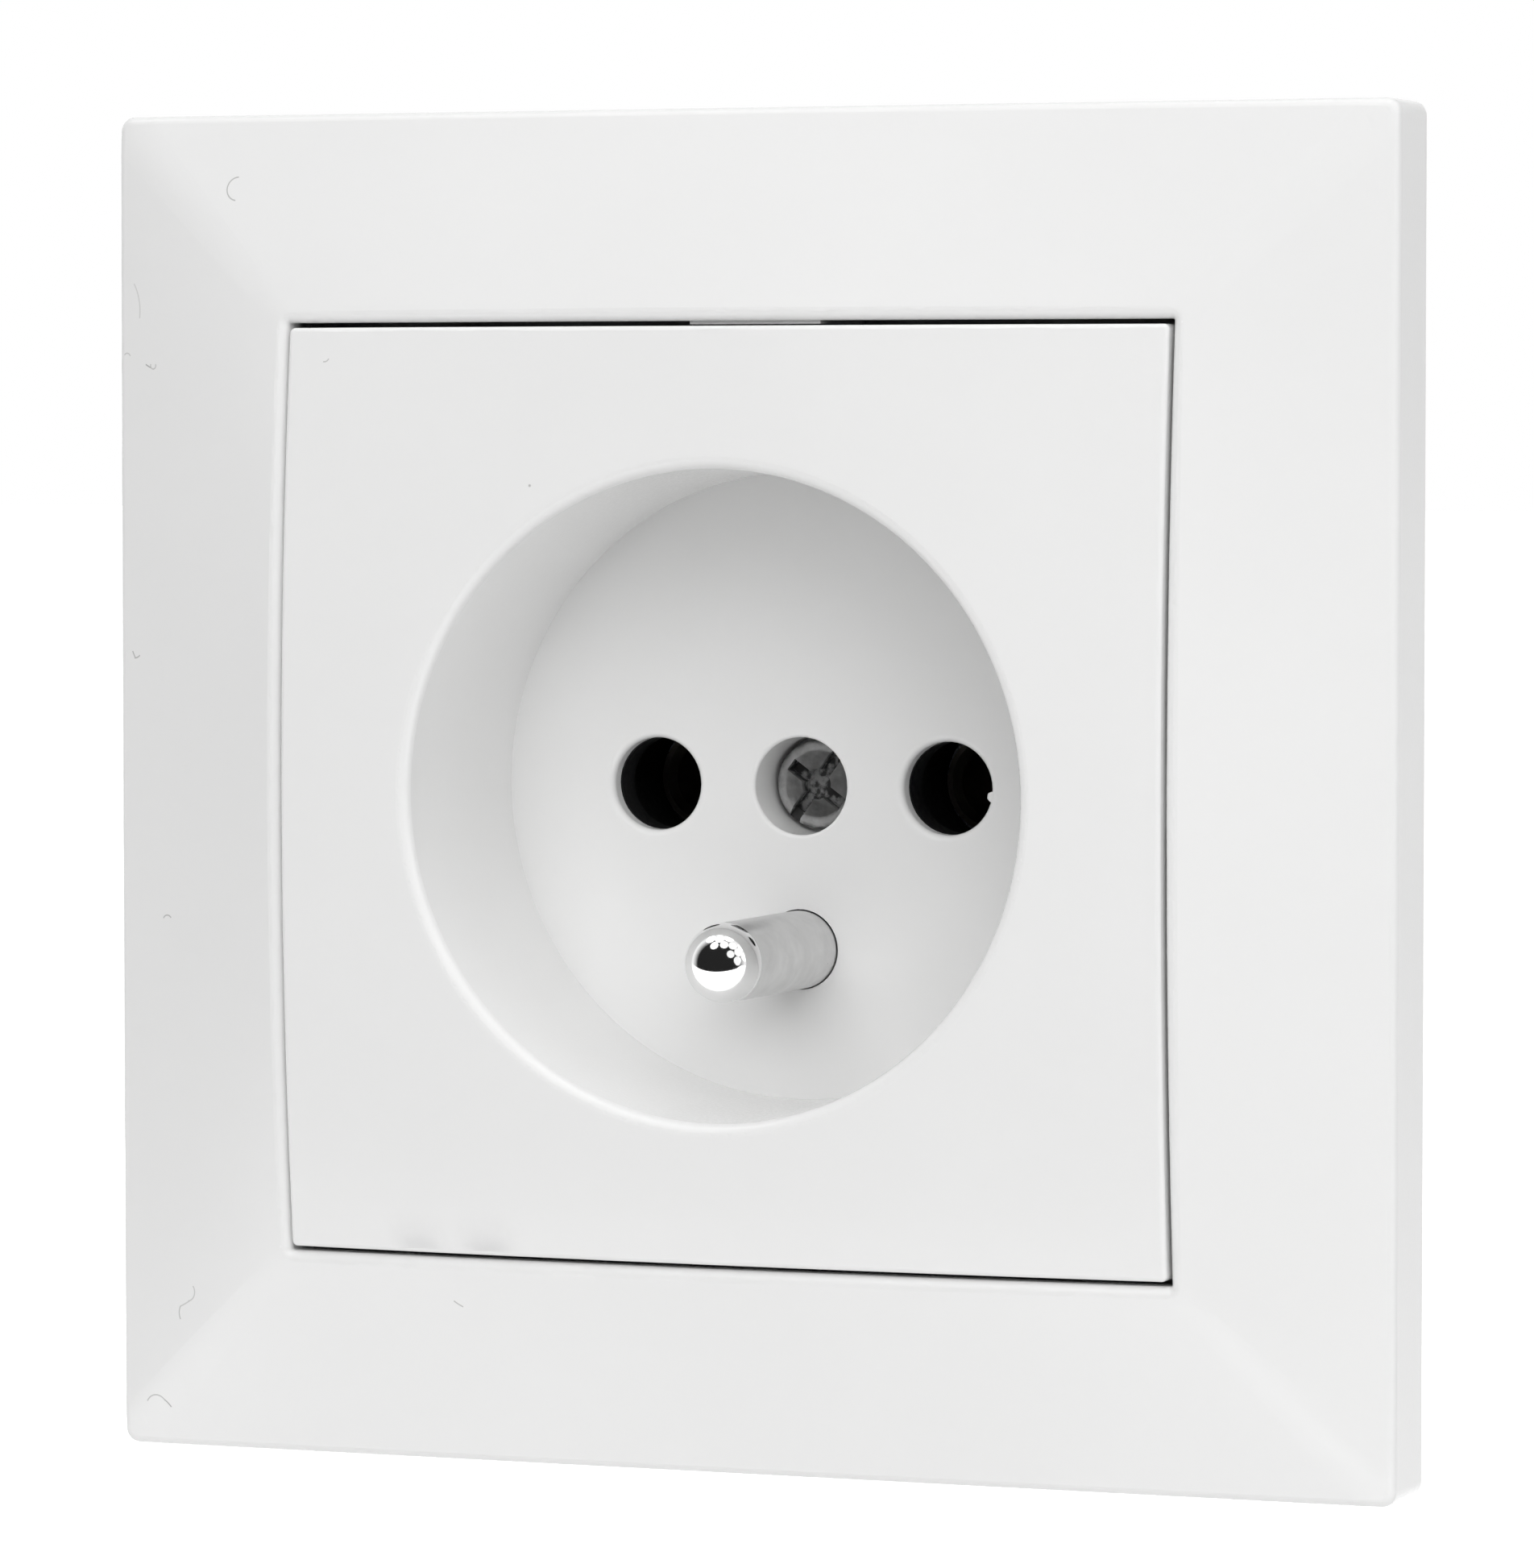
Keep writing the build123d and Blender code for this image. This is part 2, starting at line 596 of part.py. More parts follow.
# Earth bar: a strip bent back to the earth terminal, with a threaded collar for the cover screw
bar_leg = earth_room_top - slide_clearance
with BuildPart() as earth_bar:
    with BuildSketch(Plane.YZ):
        Polygon(
            (-earth_bar_front, earth_bar_width / 2),
            (-earth_bar_front, bar_leg - sheet),
            (-tail_front, bar_leg - sheet),
            (-tail_front, earth_room_bottom + slide_clearance),
            (-tail_back, earth_room_bottom + slide_clearance),
            (-tail_back, bar_leg),
            (-earth_bar_back, bar_leg),
            (-earth_bar_back, earth_bar_width / 2),
            align=None,
        )
    extrude(amount=earth_bar_width / 2, both=True)
    bends = [e for e in earth_bar.edges().filter_by(Axis.X) if abs(e.center().Z - bar_leg) < 1.1 * sheet]
    fillet([e for e in bends if abs(e.center().Y + earth_bar_front) < 0.01], 1.4 * sheet)
    bends = [e for e in earth_bar.edges().filter_by(Axis.X) if abs(e.center().Z - bar_leg) < 0.01]
    fillet([e for e in bends if abs(e.center().Y + tail_back) < 0.01], 1.4 * sheet)
    top_corners = [e for e in earth_bar.edges().filter_by(Axis.Y) if e.center().Z > 0]
    fillet(top_corners, 0.45 * earth_bar_width)
    with BuildSketch(at(earth_bar_back)):
        Circle(thread_radius + sheet)
    extrude(amount=-3 * sheet)
    with BuildSketch(at(earth_bar_front)):
        Circle(thread_radius)
    extrude(amount=-4 * sheet, mode=Mode.SUBTRACT)
    with BuildSketch(at(earth_bar_front)):
        with Locations((0, -earth_pin_drop)):
            Circle(earth_tail_radius + thread_clearance)
    extrude(amount=-sheet, mode=Mode.SUBTRACT)
    with BuildSketch(at(tail_front)):
        with Locations((0, -terminal_drop)):
            Circle(thread_radius)
    extrude(amount=-sheet, mode=Mode.SUBTRACT)
save(earth_bar.part, "earth_bar")

# Earth pin: a turned pin, riveted over behind the bar
pin_tip = floor_level + earth_pin_height
pin_shoulder = floor_level - 0.5 * slide_clearance
pin_plane = Plane(origin=(0, 0, -earth_pin_drop), x_dir=(1, 0, 0), z_dir=(0, 0, 1))
with BuildPart() as earth_pin:
    with BuildSketch(pin_plane):
        with BuildLine():
            Polyline(
                (earth_pin_radius, -pin_tip + earth_pin_radius),
                (earth_pin_radius, -pin_shoulder),
                (earth_neck_radius, -pin_shoulder),
                (earth_neck_radius, -pocket_level + slide_clearance),
                (earth_foot_radius, -pocket_level + slide_clearance),
                (earth_foot_radius, -earth_bar_front),
                (earth_tail_radius, -earth_bar_front),
                (earth_tail_radius, -earth_bar_back),
                (0.9 * earth_foot_radius, -earth_bar_back),
                (0.6 * earth_foot_radius, -earth_bar_back + 0.9 * sheet),
                (0, -earth_bar_back + 0.9 * sheet),
                (0, -pin_tip),
            )
            RadiusArc((0, -pin_tip), (earth_pin_radius, -pin_tip + earth_pin_radius), -earth_pin_radius)
        make_face()
    revolve(axis=Axis((0, 0, -earth_pin_drop), (0, 1, 0)))
save(earth_pin.part, "earth_pin")

# Clamp plates and terminal screws, one pair for each pole
terminals = (
    ("live", -pin_side, terminal_height),
    ("neutral", pin_side, terminal_height),
    ("earth", 0, -terminal_drop),
)
head_seat = tail_back - clamp_thickness
for pole, terminal_x, terminal_z in terminals:
    with BuildPart() as clamp_plate:
        with BuildSketch(at(tail_back)):
            with Locations((terminal_x, terminal_z)):
                RectangleRounded(clamp_width, clamp_height, 0.5 * clamp_thickness)
                Circle(terminal_screw_radius + 0.5 * slide_clearance, mode=Mode.SUBTRACT)
        extrude(amount=-clamp_thickness)
        rear_face = clamp_plate.faces().sort_by(Axis.Y)[-1]
        chamfer(rear_face.outer_wire().edges(), 0.25 * clamp_thickness)
    save(clamp_plate.part, f"{pole}_clamp_plate")

    with BuildPart() as terminal_screw:
        with BuildSketch(at(head_seat)):
            with Locations((terminal_x, terminal_z)):
                Circle(terminal_head_radius)
        extrude(amount=-terminal_head_height)
        fillet(terminal_screw.edges().sort_by(Axis.Y)[-1:], 0.3 * terminal_head_height)
        with BuildSketch(at(head_seat)):
            with Locations((terminal_x, terminal_z)):
                Circle(terminal_screw_radius)
        extrude(amount=clamp_thickness + sheet + terminal_screw_reach)
        with BuildSketch(at(head_seat - terminal_head_height)):
            with Locations((terminal_x, terminal_z)):
                Rectangle(1.5 * terminal_head_radius, 0.32 * terminal_head_radius, rotation=25)
                Rectangle(0.32 * terminal_head_radius, 1.5 * terminal_head_radius, rotation=25)
        extrude(amount=0.6 * terminal_head_height, mode=Mode.SUBTRACT)
        with BuildSketch(at(head_seat - terminal_head_height)):
            with Locations((terminal_x, terminal_z)):
                Rectangle(3 * terminal_head_radius, 0.3 * terminal_head_radius, rotation=25)
        extrude(amount=0.3 * terminal_head_height, mode=Mode.SUBTRACT)
    save(terminal_screw.part, f"{pole}_terminal_screw")
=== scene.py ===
"""Looks of a French wall socket: finishes, dust, light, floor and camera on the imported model."""

import json
from math import cos, radians

import bmesh
import bpy
from mathutils import Matrix, Vector


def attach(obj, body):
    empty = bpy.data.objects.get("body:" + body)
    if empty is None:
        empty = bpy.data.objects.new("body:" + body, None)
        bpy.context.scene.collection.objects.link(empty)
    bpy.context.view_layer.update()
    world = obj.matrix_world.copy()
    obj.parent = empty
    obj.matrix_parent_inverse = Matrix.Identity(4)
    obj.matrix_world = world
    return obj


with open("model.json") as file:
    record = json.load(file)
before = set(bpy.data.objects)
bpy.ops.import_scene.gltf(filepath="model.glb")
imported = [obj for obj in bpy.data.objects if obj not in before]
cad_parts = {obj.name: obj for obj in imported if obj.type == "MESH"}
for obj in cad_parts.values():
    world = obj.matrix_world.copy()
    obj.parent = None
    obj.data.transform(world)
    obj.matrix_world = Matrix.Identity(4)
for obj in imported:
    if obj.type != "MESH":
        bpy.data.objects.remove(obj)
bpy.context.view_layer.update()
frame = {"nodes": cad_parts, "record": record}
nodes = frame["nodes"]
MM = 0.001


# Small helpers for wiring the finishes
def lay(tree, kind, **settings):
    """Adds a node and sets its inputs and settings by name."""
    made = tree.nodes.new(kind)
    for name, value in settings.items():
        label = name.replace("_", " ").title()
        if label in made.inputs:
            made.inputs[label].default_value = value
        else:
            setattr(made, name, value)
    return made


def feed(tree, socket, value):
    """Links a socket to an input, or sets the input to a plain value."""
    if isinstance(value, bpy.types.NodeSocket):
        tree.links.new(value, socket)
    elif isinstance(value, tuple) and socket.type == "RGBA":
        socket.default_value = (*value, 1.0)
    else:
        socket.default_value = value


def sums(tree, operation, first, second=0.0, third=0.0):
    """The result of a sum on one to three values."""
    made = lay(tree, "ShaderNodeMath", operation=operation)
    for socket, value in zip(made.inputs, (first, second, third)):
        feed(tree, socket, value)
    return made.outputs[0]


def vectors(tree, operation, first, second=None):
    """A node that works on one or two vectors."""
    made = lay(tree, "ShaderNodeVectorMath", operation=operation)
    feed(tree, made.inputs[0], first)
    if second is not None:
        feed(tree, made.inputs[1], second)
    return made.outputs


def spread(tree, value, low, high, start=0.0, end=1.0):
    """Maps low to high onto start to end, held at both ends."""
    made = lay(tree, "ShaderNodeMapRange")
    for socket, given in zip(made.inputs, (value, low, high, start, end)):
        feed(tree, socket, given)
    return made.outputs[0]


def blend(tree, share, first, second):
    """A colour between two others."""
    made = lay(tree, "ShaderNodeMix", data_type="RGBA")
    for socket, value in ((made.inputs[0], share), (made.inputs[6], first), (made.inputs[7], second)):
        feed(tree, socket, value)
    return made.outputs[2]


def cloud(tree, place, scale, detail, roughness):
    """A soft random pattern whose scale may be a value or a socket."""
    made = lay(tree, "ShaderNodeTexNoise", detail=detail, roughness=roughness)
    feed(tree, made.inputs["Vector"], place)
    feed(tree, made.inputs["Scale"], scale)
    return made.outputs["Fac"]


def along_y(tree, vector):
    """The part of a vector that points from the front to the back."""
    axes = lay(tree, "ShaderNodeSeparateXYZ")
    feed(tree, axes.inputs[0], vector)
    return axes.outputs["Y"]


def new_group(name, inputs, outputs):
    """A node group with named inputs and outputs."""
    tree = bpy.data.node_groups.new(name, "ShaderNodeTree")
    for label, kind, value in inputs:
        socket = tree.interface.new_socket(label, in_out="INPUT", socket_type=kind)
        if value is not None:
            socket.default_value = value
    for label in outputs:
        tree.interface.new_socket(label, in_out="OUTPUT", socket_type="NodeSocketFloat")
    return tree, tree.nodes.new("NodeGroupInput").outputs, tree.nodes.new("NodeGroupOutput").inputs


def use(tree, group, **values):
    """Places a group in a finish with its own values."""
    made = lay(tree, "ShaderNodeGroup", node_tree=group)
    for name, value in values.items():
        feed(tree, made.inputs[name.replace("_", " ").title()], value)
    return made.outputs


VECTOR = "NodeSocketVector"
FLOAT = "NodeSocketFloat"
SHADE_SPAN = (0.32, 0.68)


# Slow shade and fine grain of a surface, drawn out along an axis by its stretch
def make_surface_grain():
    tree, given, result = new_group(
        "surface_grain",
        [("Place", VECTOR, None), ("Stretch", VECTOR, (1.0, 1.0, 1.0)),
         ("Shade Scale", FLOAT, 60.0), ("Grain Scale", FLOAT, 4000.0)],
        ["Shade", "Grain"],
    )
    drawn = vectors(tree, "MULTIPLY", given["Place"], given["Stretch"])[0]
    shade = cloud(tree, given["Place"], given["Shade Scale"], detail=3.0, roughness=0.55)
    grain = cloud(tree, drawn, given["Grain Scale"], detail=2.0, roughness=0.5)
    feed(tree, result["Shade"], spread(tree, shade, *SHADE_SPAN))
    feed(tree, result["Grain"], grain)
    return tree


# Loose specks of dust, one in some of the cells of a random pattern
SMALLEST_SPECK = 0.3
SPECK_CORE = 0.6


def make_dust():
    tree, given, result = new_group(
        "dust",
        [("Place", VECTOR, None), ("Scale", FLOAT, 200.0), ("Share", FLOAT, 0.05), ("Size", FLOAT, 0.1)],
        ["Specks"],
    )
    cells = lay(tree, "ShaderNodeTexVoronoi", randomness=1.0)
    feed(tree, cells.inputs["Vector"], given["Place"])
    feed(tree, cells.inputs["Scale"], given["Scale"])
    draw = lay(tree, "ShaderNodeSeparateColor")
    feed(tree, draw.inputs[0], cells.outputs["Color"])
    chosen = sums(tree, "LESS_THAN", draw.outputs[0], given["Share"])
    growth = sums(tree, "MULTIPLY_ADD", draw.outputs[1], 1.0 - SMALLEST_SPECK, SMALLEST_SPECK)
    reach = sums(tree, "MULTIPLY", given["Size"], growth)
    core = sums(tree, "MULTIPLY", reach, SPECK_CORE)
    near = spread(tree, cells.outputs["Distance"], core, reach, 1.0, 0.0)
    feed(tree, result["Specks"], sums(tree, "MULTIPLY", chosen, near))
    return tree


# A hair lying on the front: a thin arc about a centre, on the side that it points to
HAIR_CORE = 0.4


def make_hair():
    tree, given, result = new_group(
        "hair",
        [("Place", VECTOR, None), ("Centre", VECTOR, None), ("Towards", VECTOR, (1.0, 0.0, 0.0)),
         ("Radius", FLOAT, 0.001), ("Reach", FLOAT, 0.9), ("Width", FLOAT, 0.00005)],
        ["Line"],
    )
    away = vectors(tree, "SUBTRACT", given["Place"], given["Centre"])[0]
    flat = vectors(tree, "MULTIPLY", away, (1.0, 0.0, 1.0))[0]
    length = vectors(tree, "LENGTH", flat)["Value"]
    unit = vectors(tree, "NORMALIZE", flat)[0]
    facing = vectors(tree, "DOT_PRODUCT", unit, given["Towards"])["Value"]
    off = sums(tree, "ABSOLUTE", sums(tree, "SUBTRACT", length, given["Radius"]))
    core = sums(tree, "MULTIPLY", given["Width"], HAIR_CORE)
    thin = spread(tree, off, core, given["Width"], 1.0, 0.0)
    ends = sums(tree, "GREATER_THAN", facing, given["Reach"])
    feed(tree, result["Line"], sums(tree, "MULTIPLY", thin, ends))
    return tree


# How deep a point lies behind a level in front of the wall, from 0 to 1
def make_depth():
    tree, given, result = new_group(
        "depth",
        [("Place", VECTOR, None), ("Start", FLOAT, 0.0), ("End", FLOAT, 0.001)],
        ["Deep"],
    )
    feed(tree, result["Deep"], spread(tree, along_y(tree, given["Place"]), given["Start"], given["End"]))
    return tree


surface_grain = make_surface_grain()
dust = make_dust()
hair = make_hair()
depth = make_depth()


def start_finish(name):
    """An empty finish: its tree, its shader and the place on the piece."""
    material = bpy.data.materials.new(name)
    material.use_nodes = True
    tree = material.node_tree
    shader = tree.nodes["Principled BSDF"]
    return material, tree, shader, tree.nodes.new("ShaderNodeTexCoord").outputs["Object"]


def relief(tree, shader, height, distance, strength):
    """Raises the surface by a height, with the distance in mm."""
    made = lay(tree, "ShaderNodeBump", strength=strength, distance=distance * MM)
    feed(tree, made.inputs["Height"], height)
    feed(tree, shader.inputs["Normal"], made.outputs["Normal"])
    return made


GRAIN_SPAN = (0.3, 0.7)


def grained_gloss(tree, shader, grain, smooth, rough):
    """Roughness that follows the fine grain."""
    feed(tree, shader.inputs["Roughness"], spread(tree, grain, *GRAIN_SPAN, smooth, rough))


# Faces that look straight ahead, within about nine degrees, are shaded by their own plane
# The averaged normal counts as run out from an edge between these two cosines to that plane; there the
# white gets painted light, paler to make up for the dark spot that the averaged normal still shades
AHEAD = -0.988
RUN_OUT_SPAN = (0.985, 0.8)


def shade_flat_ahead(tree, bump):
    """Keeps an edge's rounding from running out over the flat front, and says where it would, which is
    where the white gets painted light.
    """
    surface = tree.nodes.new("ShaderNodeNewGeometry").outputs
    plane, averaged = surface["True Normal"], surface["Normal"]
    flat = sums(tree, "LESS_THAN", along_y(tree, plane), AHEAD)
    chosen = lay(tree, "ShaderNodeMix", data_type="VECTOR")
    feed(tree, chosen.inputs[0], flat)
    feed(tree, chosen.inputs[4], averaged)
    feed(tree, chosen.inputs[5], plane)
    feed(tree, bump.inputs["Normal"], chosen.outputs[1])
    agreement = vectors(tree, "DOT_PRODUCT", averaged, plane)["Value"]
    return sums(tree, "MULTIPLY", flat, spread(tree, agreement, *RUN_OUT_SPAN))


# White moulding of the frame and the centre plate, with the hairs and the dust that lie on it
# Each hair: three points along it (x, z) in mm, and how dark it is
HAIRS = [
    ((-32.79, 37.06), (-33.10, 36.51), (-32.47, 35.76), 0.75),
    ((-39.65, 30.41), (-39.43, 29.72), (-39.40, 28.62), 0.4),
    ((-38.90, 25.78), (-38.72, 25.68), (-38.52, 25.59), 0.9),
    ((-38.52, 25.75), (-38.32, 25.50), (-38.13, 25.80), 0.6),
    ((-40.59, 26.40), (-40.36, 26.48), (-40.15, 26.30), 0.5),
    ((-35.51, -30.89), (-35.43, -31.48), (-35.74, -31.80), 0.55),
    ((-35.74, -31.80), (-36.12, -32.02), (-36.50, -32.21), 0.55),
    ((-36.50, -32.21), (-36.60, -32.61), (-36.51, -33.01), 0.7),
    ((-38.98, -38.05), (-38.58, -37.87), (-37.91, -38.13), 0.7),
    ((-37.91, -38.13), (-37.66, -38.33), (-37.46, -38.57), 0.95),
    ((-25.56, 25.89), (-25.39, 25.92), (-25.24, 26.08), 0.6),
    ((-17.33, -30.90), (-17.05, -31.09), (-16.75, -31.25), 0.7),
    ((-40.02, 8.14), (-39.91, 7.92), (-39.80, 7.72), 0.8),
    ((-39.80, 7.72), (-39.62, 7.76), (-39.42, 7.90), 0.8),
    ((-37.54, -8.24), (-37.26, -8.06), (-36.94, -8.21), 0.75),
]
HAIR_WIDTH = 0.055
HAIR_SHADE = 0.6
WHITE_TONES = ((0.895, 0.895, 0.892), (0.911, 0.911, 0.908))
# Painted light: the white that the flat front is painted where an edge's rounding runs out over it
PAINTED_LIGHT_WHITE = (1.0, 1.0, 1.0)
DIRT_ON_WHITE = (0.12, 0.115, 0.11)
FRONT_SIDE = -0.5


def circle_through(a, b, c):
    """The circle through three points of a plane."""
    doubled = 2.0 * (a.x * (b.y - c.y) + b.x * (c.y - a.y) + c.x * (a.y - b.y))
    across = a.dot(a) * (b.y - c.y) + b.dot(b) * (c.y - a.y) + c.dot(c) * (a.y - b.y)
    along = a.dot(a) * (c.x - b.x) + b.dot(b) * (a.x - c.x) + c.dot(c) * (b.x - a.x)
    centre = Vector((across / doubled, along / doubled))
    return centre, (a - centre).length


def hair_line(tree, place, first, middle, last):
    """The mask of the hair whose arc runs through three points."""
    a, b, c = Vector(first), Vector(middle), Vector(last)
    centre, radius = circle_through(a, b, c)
    half = max((a - centre).angle(b - centre), (c - centre).angle(b - centre))
    towards = (b - centre).normalized()
    return use(
        tree, hair, place=place,
        centre=(MM * centre.x, 0.0, MM * centre.y), towards=(towards.x, 0.0, towards.y),
        radius=MM * radius, reach=cos(half), width=HAIR_WIDTH * MM,
    )["Line"]


def white_moulding(name):
    material, tree, shader, place = start_finish(name)
    look = use(tree, surface_grain, place=place, shade_scale=45.0, grain_scale=5200.0)
    marks = use(tree, dust, place=place, scale=260.0, share=0.012, size=0.09)["Specks"]
    for first, middle, last, dark in HAIRS:
        line = hair_line(tree, place, first, middle, last)
        marks = sums(tree, "MAXIMUM", marks, sums(tree, "MULTIPLY", line, HAIR_SHADE * dark))
    in_front = sums(tree, "LESS_THAN", along_y(tree, place.node.outputs["Normal"]), FRONT_SIDE)
    marks = sums(tree, "MULTIPLY", marks, in_front)
    run_out_painted_light = shade_flat_ahead(tree, relief(tree, shader, look["Grain"], 0.01, 0.25))
    # Painted light: the white turns paler where the rounding would run out, against the dark spot shaded
    # there
    white = blend(tree, run_out_painted_light, blend(tree, look["Shade"], *WHITE_TONES), PAINTED_LIGHT_WHITE)
    feed(tree, shader.inputs["Base Color"], blend(tree, marks, white, DIRT_ON_WHITE))
    grained_gloss(tree, shader, look["Grain"], 0.15, 0.22)
    return material


# Matt black insulating moulding of the base and the contact cover
BLACK_TONES = ((0.012, 0.012, 0.012), (0.02, 0.02, 0.021))


def black_moulding(name):
    material, tree, shader, place = start_finish(name)
    look = use(tree, surface_grain, place=place, shade_scale=90.0, grain_scale=2600.0)
    feed(tree, shader.inputs["Base Color"], blend(tree, look["Shade"], *BLACK_TONES))
    grained_gloss(tree, shader, look["Grain"], 0.42, 0.58)
    relief(tree, shader, look["Grain"], 0.02, 0.4)
    return material


# Metals: sheet, wire and turned pieces with their own tones, least and most roughness, and draw marks
METAL_SHADE = 300.0
METAL_GRAIN = 2500.0


def metal(name, dark, light, smooth, rough, stretch=(1.0, 1.0, 1.0)):
    material, tree, shader, place = start_finish(name)
    look = use(
        tree, surface_grain, place=place, stretch=stretch, shade_scale=METAL_SHADE, grain_scale=METAL_GRAIN
    )
    feed(tree, shader.inputs["Base Color"], blend(tree, look["Shade"], dark, light))
    grained_gloss(tree, shader, look["Grain"], smooth, rough)
    shader.inputs["Metallic"].default_value = 1.0
    relief(tree, shader, look["Grain"], 0.006, 0.3)
    return material


# Cover screw: zinc on its head, painted shade down in its slots, thinner where a mottle leaves the metal
# bright
SCREW_TOP = 7.5
SLOT_SHADE_DEPTH = (0.12, 0.45)
BRIGHT_SPAN = (0.45, 0.8)
SHADE_LEFT_BY_MOTTLE = 0.35
ZINC_TONES = ((0.46, 0.46, 0.46), (0.68, 0.68, 0.68))
SLOT_SHADE_TONE = (0.03, 0.03, 0.03)
ZINC_ROUGHNESS = 0.34
SLOT_SHADE_ROUGHNESS = 0.64


def cover_screw_finish(name):
    material, tree, shader, place = start_finish(name)
    look = use(tree, surface_grain, place=place, shade_scale=1400.0, grain_scale=1600.0)
    start, end = (MM * (SCREW_TOP + level) for level in SLOT_SHADE_DEPTH)
    deep = use(tree, depth, place=place, start=start, end=end)["Deep"]
    # Painted shade in the slots: dark, rough and not metallic at the bottom, broken up by the mottle
    slot_shade = sums(tree, "MULTIPLY", deep, spread(tree, look["Shade"], *BRIGHT_SPAN, 1.0, SHADE_LEFT_BY_MOTTLE))
    zinc = blend(tree, look["Shade"], *ZINC_TONES)
    rougher = sums(tree, "MULTIPLY_ADD", slot_shade, SLOT_SHADE_ROUGHNESS - ZINC_ROUGHNESS, ZINC_ROUGHNESS)
    feed(tree, shader.inputs["Base Color"], blend(tree, slot_shade, zinc, SLOT_SHADE_TONE))
    feed(tree, shader.inputs["Roughness"], rougher)
    feed(tree, shader.inputs["Metallic"], sums(tree, "SUBTRACT", 1.0, slot_shade))
    relief(tree, shader, look["Grain"], 0.05, 0.6)
    return material


# Earth pin: satin turned shank, polished tip, a fine line where they meet
TIP_START = -7.9
TIP_BLEND = 0.06
LINE_STRENGTH = 1.6
TIP_TONE = (0.88, 0.88, 0.88)
SHANK_TONES = ((0.62, 0.62, 0.62), (0.72, 0.72, 0.72))
SPECK_TONE = (0.3, 0.3, 0.3)
LINE_TONE = (0.25, 0.25, 0.25)
TIP_ROUGHNESS = 0.07
SHANK_ROUGHNESS = 0.33


def earth_pin_finish(name):
    material, tree, shader, place = start_finish(name)
    look = use(
        tree, surface_grain, place=place, stretch=(1.0, 6.0, 1.0), shade_scale=500.0, grain_scale=1800.0
    )
    specks = use(tree, dust, place=place, scale=900.0, share=0.05, size=0.14)["Specks"]
    start, end = MM * (TIP_START - TIP_BLEND), MM * (TIP_START + TIP_BLEND)
    shank = use(tree, depth, place=place, start=start, end=end)["Deep"]
    between = sums(tree, "MULTIPLY", shank, sums(tree, "SUBTRACT", 1.0, shank))
    line = sums(tree, "MULTIPLY", between, LINE_STRENGTH)
    nickel = blend(tree, shank, TIP_TONE, blend(tree, look["Shade"], *SHANK_TONES))
    spotted = blend(tree, sums(tree, "MULTIPLY", specks, shank), nickel, SPECK_TONE)
    rougher = sums(tree, "MULTIPLY_ADD", shank, SHANK_ROUGHNESS - TIP_ROUGHNESS, TIP_ROUGHNESS)
    feed(tree, shader.inputs["Base Color"], blend(tree, line, spotted, LINE_TONE))
    feed(tree, shader.inputs["Roughness"], rougher)
    shader.inputs["Metallic"].default_value = 1.0
    relief(tree, shader, sums(tree, "MULTIPLY", look["Grain"], shank), 0.006, 0.4)
    return material


# Each metal: dark and light tone, least and most roughness, and the stretch of its draw marks
METALS = {
    "plated_steel": ((0.5, 0.51, 0.52), (0.66, 0.67, 0.68), 0.28, 0.45, (1.0, 1.0, 0.15)),
    "spring_steel": ((0.42, 0.42, 0.44), (0.55, 0.55, 0.57), 0.2, 0.35, (1.0, 8.0, 1.0)),
    "rivet_steel": ((0.46, 0.46, 0.48), (0.6, 0.6, 0.62), 0.25, 0.42),
    "zinc_screw": ((0.44, 0.44, 0.45), (0.6, 0.6, 0.61), 0.2, 0.36),
    # Brass is kept much darker than bare brass, as painted shade for the contacts deep in the contact
    # holes
    "brass": ((0.3, 0.28, 0.24), (0.44, 0.41, 0.36), 0.32, 0.46, (1.0, 0.2, 1.0)),
}
finishes = {name: metal(name, *values) for name, values in METALS.items()}
finishes["white_plastic"] = white_moulding("white_plastic")
finishes["black_plastic"] = black_moulding("black_plastic")
finishes["nickel_pin"] = earth_pin_finish("nickel_pin")
for piece in frame["record"]["subparts"]:
    mesh = nodes[piece["node"]].data
    mesh.materials.clear()
    mesh.materials.append(finishes[piece["material_slot"]])
nodes["cover_screw"].data.materials[0] = cover_screw_finish("cover_screw_zinc")
# Shadows on the white moulding start on its facets, not on the averaged normals
for name in ("outer_frame", "centre_plate"):
    nodes[name].shadow_terminator_geometry_offset = 0.0


# Thin moulding flash left standing at the edge of the right contact hole, sizes in mm
HOLE_CENTRE = (9.5, 0.0)
HOLE_RADIUS = 2.85
HOLE_MOUTH = 4.7
FLASH_TURN = 9.0
FLASH_SIZE = (0.5, 0.62, 0.3)
FLASH_TAPER = (1.0, 0.55, 0.45)
FLASH_BITE = 0.02
FLASH_SET_BACK = 0.42
EDGE_ANGLE = 0.6


